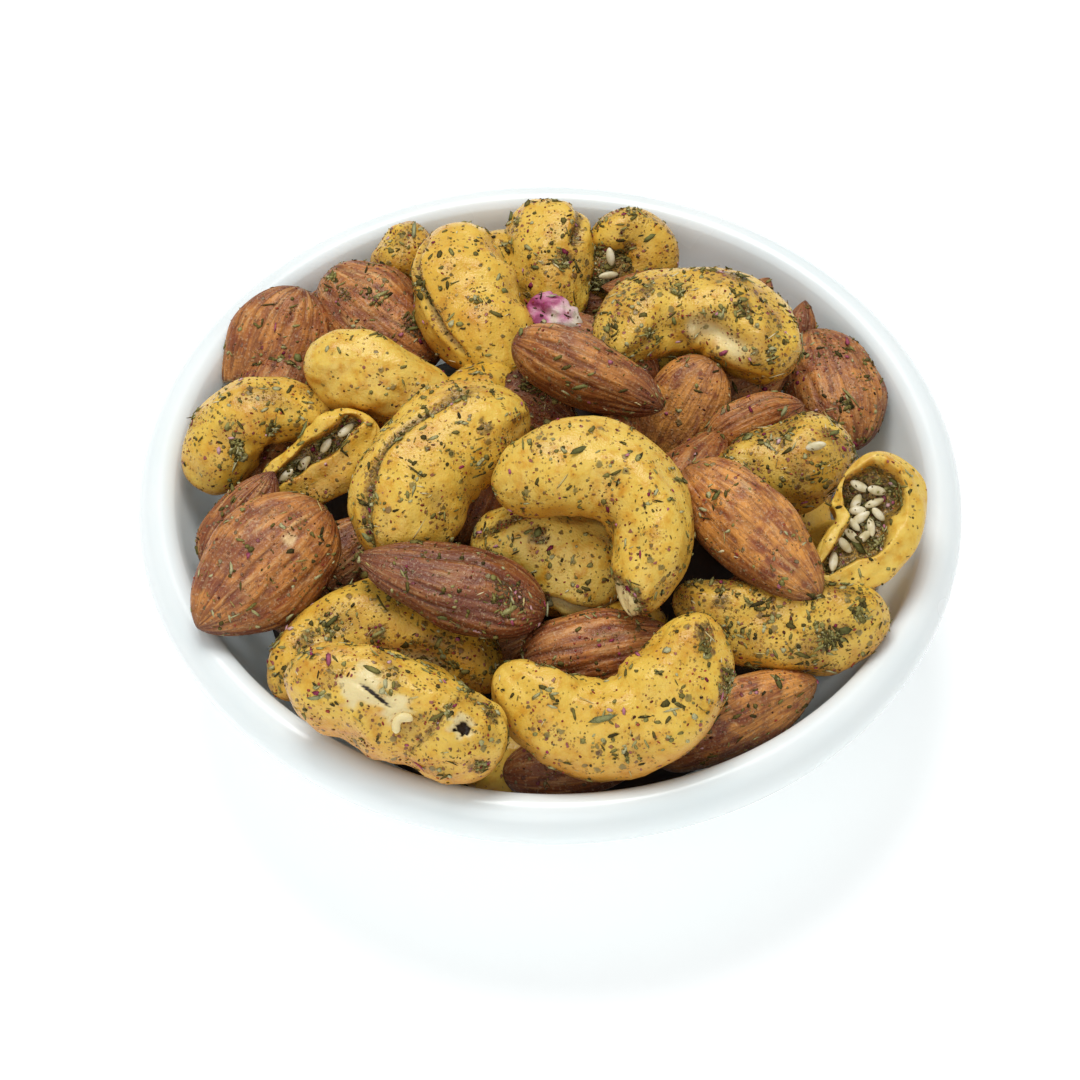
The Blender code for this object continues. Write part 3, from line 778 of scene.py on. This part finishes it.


# %% [markdown]
# ## Skin of the almonds
# The brown skin of an almond is a dry papery coat, wrinkled along the nut. Its ridges are lighter
# and its grooves darker. The grooves are in the mesh, which hands their depth over as a field;
# finer wrinkles follow the same direction, by stretching a noise pattern in the skin's own
# coordinates. The sides that face down are painted darker and redder, as shade.


# %% Roasted almond skin
def almond_skin():
    material, add, shader, place = new_material("roasted_almond_skin", {"IOR": 1.47, "Roughness": 0.4})
    tone, pale, groove, herbs, lodged = [
        add("Attribute", {}, out="Fac", attribute_name=name)
        for name in ("tone", "pale", "groove", "herbs", "lodged")]
    skin = add("Attribute", {}, out="Vector", attribute_name="skin")
    # the skin's coordinates are in millimetres, and along the nut its wrinkles are six times longer
    along = add("Mapping", {"Vector": skin, "Scale": (1.0, 1.0, 0.16)})
    wrinkles, threads = [add("TexNoise", {"Vector": along, "Scale": 1 / size, "Detail": 5.0})
                         for size in (0.75, 0.95)]
    stains, fading, powder = [
        add("TexNoise", {"Vector": place, "Scale": 1 / (size_mm * MM), "Detail": detail})
        for size_mm, detail in ((5, 4.0), (2.2, 4.0), (0.35, 2.0))]
    facing = add("SeparateXYZ", {0: add("NewGeometry", {}, out="Normal")}, out="Z")
    brown = add("ValToRGB", {0: wrinkles}, stops=[
        (0.34, "#7a3d20"), (0.46, "#a1592b"), (0.56, "#bd783c"), (0.68, "#d8a66a")])
    off_line = add("Math", {0: threads, 1: 0.5, 2: 0.03}, operation="COMPARE")
    # low is the sides that face down, painted darker and redder as shade
    red, dust, golden, filled, grain, low = [
        add("MapRange", {"Value": value, "From Min": start, "From Max": end},
            interpolation_type="SMOOTHSTEP")
        for value, start, end in ((stains, 0.5, 0.68), (powder, 0.56, 0.7), (fading, 0.36, 0.6),
                                  (lodged, 0.2, 0.8), (powder, 0.4, 0.55), (facing, 0.6, -0.2))]
    # a nut's tone spreads the golden colour, as its own colour and as painted light on nuts in shade
    golden = add("Math", {0: golden, 1: tone}, operation="MULTIPLY")
    deep = add("MapRange", {"Value": tone, "From Min": 0.0, "From Max": 0.4, "To Min": 0.45, "To Max": 0.0})
    base = coated(add, brown, [
        (golden, 0.85, "#e29a48"), (deep, 1.0, "#683a1e"), (off_line, 0.4, "#7c4326"),
        (groove, 0.7, "#572715"), (red, 0.55, "#74382a"), (low, 0.75, "#5e2a18"), (dust, 0.28, "#e6cda4"),
        (pale, 1.0, "#ecc890")])
    colour, height = speckled(add, place, base, herbs, [
        (0.45, 0.4, 0.4, 0.4, [(0.0, "#5d3a26"), (0.45, "#c9a678"), (0.8, "#8e4a52")]),
        (0.9, 0.34, 0.26, 0.8, [(0.0, "#4b4428"), (0.45, "#8e8660"), (0.8, "#7c2f45")]),
        (1.8, 0.26, 0.16, 0.75, [(0.0, "#55512f"), (0.6, "#8b875c")]),
    ])
    crust = add("Math", {0: filled, 1: grain}, operation="MULTIPLY")
    finished = coated(add, colour, [(crust, 0.8, "#43391f")])
    ripple = add("Math", {0: powder, 1: 0.45, 2: wrinkles}, operation="MULTIPLY_ADD")
    rough = add("Math", {0: ripple, 1: height}, operation="ADD")
    surfaced(add, shader, finished, rough, 0.3)
    return material


# %% [markdown]
# ## Nuts as pieces
# All nuts of a kind are one mesh with one material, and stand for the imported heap. Whatever is
# put into the heap later, such as a seed, goes through the same function.


# %% Make the nuts
def make_nuts(name, forms, material):
    piece = join_forms(name, forms, material)
    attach(piece, "root")
    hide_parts("nut_heap")
    return piece


coat = coated_cashew()
cashews = make_nuts("cashews", top_cashews + side_cashews + deeper_cashews + beneath["cashew"], coat)
opened = make_nuts("opened_cashews", [half_right, half_left, split_front, curl], coat)
almonds = make_nuts("almonds", shown_almonds + deeper_almonds + beneath["almond"], almond_skin())

# %% [markdown]
# ## The bed of the heap
# Below the nuts that show lie more nuts, in deep shade. One lumpy dark dome that fills the dish
# stands for them, and closes every gap. Its lumps are as large as a nut.

# %% Bed of the heap
BED_TOP, BED_EDGE, BED_GAP = 29.0, 13.0, 0.35
BED_SIDES = 96


def heap_bed():
    material, add, shader, place = new_material("shaded_spice_bed", {"IOR": 1.45, "Roughness": 0.7})
    lumps = add("TexNoise", {"Vector": place, "Scale": 1 / (7 * MM), "Detail": 3.0})
    colour = add("ValToRGB", {0: lumps}, stops=[(0.35, "#15100a"), (0.6, "#2e1c10"), (0.75, "#453014")])
    surfaced(add, shader, colour, lumps, 0.6)
    radii = np.linspace(4.0, 0.94 * EDGE_RADIUS, 40)
    side = [beside_wall(r, BED_GAP) for r in radii if wall_height(r) + BED_GAP < BED_EDGE]
    edge = side[-1][0]
    shares = np.linspace(0.04, 0.97, 24)
    top = [(edge * share, BED_TOP - (BED_TOP - BED_EDGE) * share ** 2) for share in shares]
    profile = np.array(top + side[::-1])
    points = turned(profile[:, 0], profile[:, 1], BED_SIDES, FLOOR_HEIGHT + BED_GAP, BED_TOP)
    away = np.hypot(points[:, 0], points[:, 1])
    lift = 1.1 * waves(points * (1, 1, 0), 13.0, 90) * (1 - smooth(0.6 * edge, 0.9 * edge, away))
    points[:, 2] += lift * smooth(BED_EDGE - 4, BED_EDGE + 2, points[:, 2])
    form = {"points": points, "rings": len(profile), "sides": BED_SIDES, "fields": {}}
    make_nuts("heap_bed", [form], material)


heap_bed()

# %% [markdown]
# ## Looks of the sesame and the rose petal
# Hulled sesame is an ivory, slightly oily seed. The petal lump is one crumpled dried petal: a
# flat drop with deep folds and darker veins, magenta at one end and nearly white at the other.


# %% Sesame
def hulled_sesame():
    material, add, shader, place = new_material("hulled_sesame", {"IOR": 1.46, "Roughness": 0.38})
    cloud = add("TexNoise", {"Vector": place, "Scale": 1 / (1.2 * MM), "Detail": 2.0})
    colour = add("ValToRGB", {0: cloud}, stops=[(0.35, "#cabb8c"), (0.5, "#e0d5ae"), (0.65, "#ece4c8")])
    surfaced(add, shader, colour, cloud, 0.05)
    return material


sesame = make_nuts("sesame_seeds", seed_forms, hulled_sesame())

# %% Rose petal
PETAL_GRID = (48, 72)
PETAL_AT = (0.5, 20.6, 36.6)
PETAL_HALF_SIZES = (4.3, 2.9, 1.9)      # mm
FOLDS, WRINKLES = 0.5, 0.16             # relief, mm


def crumpled_petal():
    """A drop whose surface is pushed in and out by two uneven fields, with a tint along it."""
    t, around = nut_grid(*PETAL_GRID)
    along = np.cos(t)
    skin = skin_places(2.6, around, 3.6 * along)
    half = np.sin(t) ** 0.8
    folds = (FOLDS * np.abs(waves(skin * (1, 1, 0.6), 3.0, 7)) + WRINKLES * waves(skin, 1.2, 8)) * half
    half_length, half_width, half_thick = PETAL_HALF_SIZES
    points = np.stack([half_length * along, (half_width * half - folds) * np.cos(around),
                       (half_thick * half - folds) * np.sin(around)], axis=1)
    tint = np.clip(0.5 + 0.5 * along + 0.15 * waves(skin, 2.5, 9), 0, 1)
    return {"points": points @ seen_turn(-38, 8, 0).T + PETAL_AT, "rings": PETAL_GRID[0],
            "sides": PETAL_GRID[1], "fields": {"herbs": 0.8 * np.ones(len(t)), "tint": tint}}


def dried_petal():
    material, add, shader, place = new_material("crumpled_rose_petal", {"IOR": 1.45, "Roughness": 0.55})
    tint = add("Attribute", {}, out="Fac", attribute_name="tint")
    veins = add("TexNoise", {"Vector": place, "Scale": 1 / (0.6 * MM), "Detail": 3.0})
    mixed = add("Math", {0: veins, 1: 0.5, 2: tint}, operation="MULTIPLY_ADD")
    colour = add("ValToRGB", {0: mixed}, stops=[(0.25, "#94305e"), (0.5, "#c26a90"), (0.8, "#e0b8bd"),
                                                (1.0, "#d8ccb8")])
    surfaced(add, shader, colour, veins, 0.15)
    return material


rose = make_nuts("rose_petal", [crumpled_petal()], dried_petal())

# %% [markdown]
# ## Scattered flakes
# Herb flakes, straw, crumbs and petal bits are small closed chips that lie on the nuts. A chip
# is an uneven ring of six points between a low top and bottom point: twelve triangles, so that
# thousands stay light. Points of the nuts are drawn by how much coating they hold, and each chip
# is set there in the plane of the skin, a little tilted.

# %% Places on the nuts
CHIP_SIDES = 6


def nut_surface(pieces):
    """Every nut point in millimetres with its outward direction, its share of area and herbs."""
    places, normals, weights = [], [], []
    for piece in pieces:
        mesh = piece.data
        co, facing = np.empty((2, len(mesh.vertices), 3))
        mesh.vertices.foreach_get("co", co.ravel())
        mesh.vertex_normals.foreach_get("vector", facing.ravel())
        herbs = np.empty(len(mesh.vertices))
        mesh.attributes["herbs"].data.foreach_get("value", herbs)
        areas = np.empty(len(mesh.polygons))
        mesh.polygons.foreach_get("area", areas)
        sides = np.empty(len(mesh.polygons), dtype=int)
        mesh.polygons.foreach_get("loop_total", sides)
        corners = np.empty(len(mesh.loops), dtype=int)
        mesh.loops.foreach_get("vertex_index", corners)
        share = np.zeros(len(mesh.vertices))
        np.add.at(share, corners, np.repeat(areas / sides, sides))
        places.append(co / MM)
        normals.append(facing)
        weights.append(share * herbs)
    return np.concatenate(places), np.concatenate(normals), np.concatenate(weights)


places, normals, weights = nut_surface([cashews, opened, almonds, rose, sesame])
# what lies in the open gets the flakes: the upper side of the nuts that stand above the bed
exposed = smooth(-0.5, 0.1, normals[:, 2]) * smooth(22, 27, places[:, 2])
weights = weights * exposed
print(len(places), "nut points")


# %% Chips on the nuts
CHIP_TILT = 0.22            # spread of a chip's direction off the skin's own
CHIP_REACH = (0.75, 1.25)   # its corners' distance from its middle, as shares of its half-size
BUNCH_MM = 4.5              # size of the places where herbs gather


def chips_at(spots, directions, lengths, widths, thick, turns, rng, curl=0.0):
    """Closed chips: a ring of six uneven points and a top and bottom point, laid on the spots."""
    count = len(spots)
    tilted = directions + rng.normal(0, CHIP_TILT, (count, 3))
    tilted /= np.linalg.norm(tilted, axis=1)[:, None]
    guide = np.stack([np.cos(turns), np.sin(turns), 0.3 * np.cos(3 * turns)], axis=1)
    side = np.cross(tilted, guide)
    side /= np.linalg.norm(side, axis=1)[:, None]
    front = np.cross(side, tilted)
    angles = 2 * np.pi * np.arange(CHIP_SIDES) / CHIP_SIDES
    reach = rng.uniform(*CHIP_REACH, (count, CHIP_SIDES))
    along = lengths[:, None] / 2 * reach * np.cos(angles)
    across = widths[:, None] / 2 * reach * np.sin(angles)
    rise = curl * (along / lengths[:, None]) ** 2 * lengths[:, None]
    ring = (spots[:, None] + along[..., None] * front[:, None] + across[..., None] * side[:, None]
            + rise[..., None] * tilted[:, None])
    top = spots + tilted * thick[:, None]
    bottom = spots - tilted * thick[:, None]
    return np.concatenate([ring, top[:, None], bottom[:, None]], axis=1).reshape(-1, 3)


def chip_faces(count):
    """Twelve triangles for every chip."""
    here = np.arange(CHIP_SIDES)
    after = (here + 1) % CHIP_SIDES
    upper = np.stack([here, after, np.full(CHIP_SIDES, CHIP_SIDES)], axis=1)
    lower = np.stack([after, here, np.full(CHIP_SIDES, CHIP_SIDES + 1)], axis=1)
    one = np.concatenate([upper, lower])
    return (one[None] + (CHIP_SIDES + 2) * np.arange(count)[:, None, None]).reshape(-1, 3).tolist()


def scatter(name, count, length, width, thick, seed, bunch, curl, material):
    """Chips drawn on the nuts, lengths and widths as (middle, spread) in millimetres."""
    rng = np.random.default_rng(seed)
    clusters = np.exp(bunch * waves(places, BUNCH_MM, seed + 1))
    chance = weights * clusters
    chosen = rng.choice(len(places), count, p=chance / chance.sum())
    lengths = length[0] * np.exp(rng.normal(0, length[1], count))
    widths = np.minimum(width[0] * np.exp(rng.normal(0, width[1], count)), lengths)
    heights = np.full(count, thick) * rng.uniform(0.6, 1.3, count)
    spots = places[chosen] + normals[chosen] * (0.3 * thick)
    points = chips_at(spots, normals[chosen], lengths, widths, heights, rng.uniform(0, 2 * np.pi, count),
                      rng, curl)
    tint = np.repeat(rng.uniform(0, 1, count), CHIP_SIDES + 2)
    piece = make_piece(name, points, chip_faces(count), {"tint": tint}, material)
    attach(piece, "root")
    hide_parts("nut_heap")


# %% [markdown]
# ## Dried herb, straw, spice and petal
# Dried leaf is matt and dull olive, some of it nearly black, some grey-green where the underside
# shows. Straw is the pale stalk. Spice crumbs are red and brown. Rose petal dries to magenta
# and dusty pink. Each chip carries one random number, which picks its colour, and one table says
# how many chips of each kind there are, how large they are and what they look like.


# %% Scatter the chips
def chip_material(name, roughness, stops):
    material, add, shader, place = new_material(name, {"IOR": 1.45, "Roughness": roughness,
                                                       "Specular IOR Level": 0.25})
    tint = add("Attribute", {}, out="Fac", attribute_name="tint")
    veins = add("TexNoise", {"Vector": place, "Scale": 1 / (0.35 * MM), "Detail": 2.0})
    shift = add("Math", {0: veins, 1: 0.3, 2: -0.15}, operation="MULTIPLY_ADD")
    mixed = add("Math", {0: tint, 1: shift}, operation="ADD")
    colour = add("ValToRGB", {0: mixed}, stops=stops)
    surfaced(add, shader, colour, veins, 0.1)
    return material


# name, count, length and its spread, width and its spread, thickness, seed, bunching, curl, and
# the material's name, roughness and colours
CHIPS = [
    ("herb_flakes", 6600, (0.78, 0.46), (0.42, 0.38), 0.11, 101, 1.2, 0.25, "dried_herb_leaf", 0.8,
     [(0.0, "#3b3216"), (0.25, "#5b5125"), (0.5, "#7a7038"), (0.75, "#9a9456"), (1.0, "#c2bd90")]),
    ("herb_dust", 7500, (0.32, 0.4), (0.2, 0.3), 0.06, 102, 0.8, 0.0, "ground_herb", 0.8,
     [(0.0, "#54441d"), (0.5, "#7c6a2e"), (1.0, "#a3904e")]),
    ("spice_crumbs", 3000, (0.34, 0.35), (0.26, 0.3), 0.09, 103, 0.5, 0.0, "chilli_and_spice_crumb", 0.5,
     [(0.0, "#3d1f12"), (0.4, "#6f2f1d"), (0.7, "#96372c"), (1.0, "#b35a3a")]),
    ("straw_slivers", 420, (1.1, 0.5), (0.18, 0.25), 0.08, 104, 0.8, 0.0, "herb_straw", 0.5,
     [(0.0, "#9a8848"), (0.5, "#cdb978"), (1.0, "#ece0b4")]),
    ("petal_bits", 340, (0.7, 0.45), (0.5, 0.3), 0.12, 105, 0.5, 0.3, "dried_rose_petal", 0.6,
     [(0.0, "#74203a"), (0.4, "#9c3c58"), (0.75, "#c07a8c"), (1.0, "#dcb6b4")]),
    ("herb_leaves", 90, (1.9, 0.3), (0.75, 0.25), 0.14, 106, 0.3, 0.25, "whole_herb_leaf", 0.75,
     [(0.0, "#565429"), (0.5, "#7f8048"), (1.0, "#b3b48c")]),
]
for *sizes, bunch, curl, look, roughness, stops in CHIPS:
    scatter(*sizes, bunch, curl, chip_material(look, roughness, stops))

# %% [markdown]
# ## Floor and light
# The photograph is a high-key studio picture: a white sheet below, broad soft light from all
# sides, and hardly a shadow. A large plane stands for the sheet. Light comes from a white
# world and two big soft boxes.


# %% Floor and lights
FLOOR_HALF, FLOOR_GLOW, ROOM_GLOW = 4.0, 0.245, 0.42
LIGHTS = (("overhead_softbox", (-60, 220, 700), 380, 3.0),      # place and size in mm, and watts
          ("front_fill", (-120, -560, 460), 560, 1.15))
AIM_MM = Vector((0, 0, 25))


def add_floor():
    material = new_material("white_sheet", {
        "Base Color": linear("#ffffff"), "IOR": 1.4, "Roughness": 0.9, "Specular IOR Level": 0.0,
        "Emission Color": linear("#ffffff"), "Emission Strength": FLOOR_GLOW})[0]
    mesh = bpy.data.meshes.new("floor")
    corners = [(x * FLOOR_HALF, y * FLOOR_HALF, 0) for x, y in ((-1, -1), (1, -1), (1, 1), (-1, 1))]
    mesh.from_pydata(corners, [], [(0, 1, 2, 3)])
    mesh.materials.append(material)
    floor = bpy.data.objects.new("floor", mesh)
    bpy.context.scene.collection.objects.link(floor)


def add_light(name, place_mm, size_mm, watts):
    data = bpy.data.lights.new(name, "AREA")
    data.shape = "DISK"
    data.size = size_mm * MM
    data.energy = watts
    light = bpy.data.objects.new(name, data)
    place = Vector(place_mm)
    aim = (place - AIM_MM).to_track_quat("Z", "Y")
    light.matrix_world = Matrix.Translation(place * MM) @ aim.to_matrix().to_4x4()
    bpy.context.scene.collection.objects.link(light)


def add_world(strength):
    world = bpy.data.worlds.new("white_room")
    world.use_nodes = True
    background = world.node_tree.nodes["Background"]
    background.inputs["Color"].default_value = (1.0, 1.0, 1.0, 1.0)
    background.inputs["Strength"].default_value = strength
    bpy.context.scene.world = world


add_floor()
add_world(ROOM_GLOW)
for light in LIGHTS:
    add_light(*light)
bpy.context.scene.view_settings.view_transform = "Standard"
